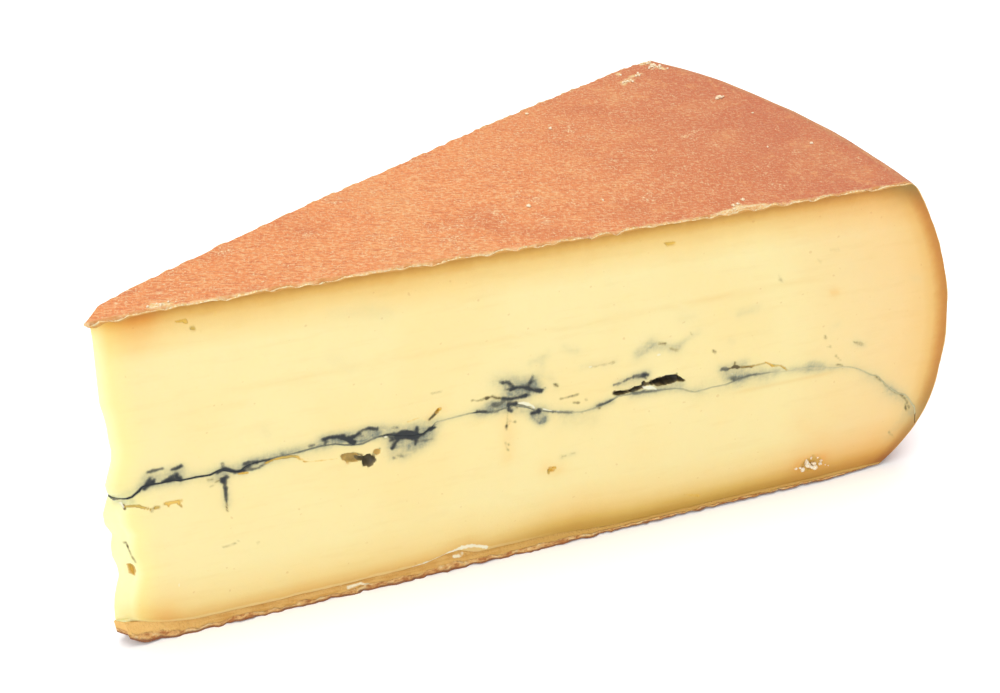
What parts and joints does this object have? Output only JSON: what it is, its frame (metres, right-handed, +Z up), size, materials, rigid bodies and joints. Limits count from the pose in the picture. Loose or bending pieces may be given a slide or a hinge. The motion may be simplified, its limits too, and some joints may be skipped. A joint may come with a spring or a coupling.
{
  "type": "morbier cheese wedge",
  "caption": "Wedge of semi-soft cheese with a bulging heel, a cloth-marked orange rind and a dark ash layer running through the paste.",
  "frame": {"origin": "middle of the wedge's footprint, on the surface that it stands on", "axes": "+X along the front cut from the tip to the heel, +Z up; the front cut faces -Y"},
  "size_m": [0.1806, 0.0832, 0.0713],
  "materials": {
    "paste_and_rind": "soft semi-matte pale yellow paste with an orange-brown rind",
    "ash": "matte blue-black"
  },
  "bodies": {
    "root": {"cheese": "paste_and_rind", "ash_layer": "ash"}
  },
  "joints": []
}
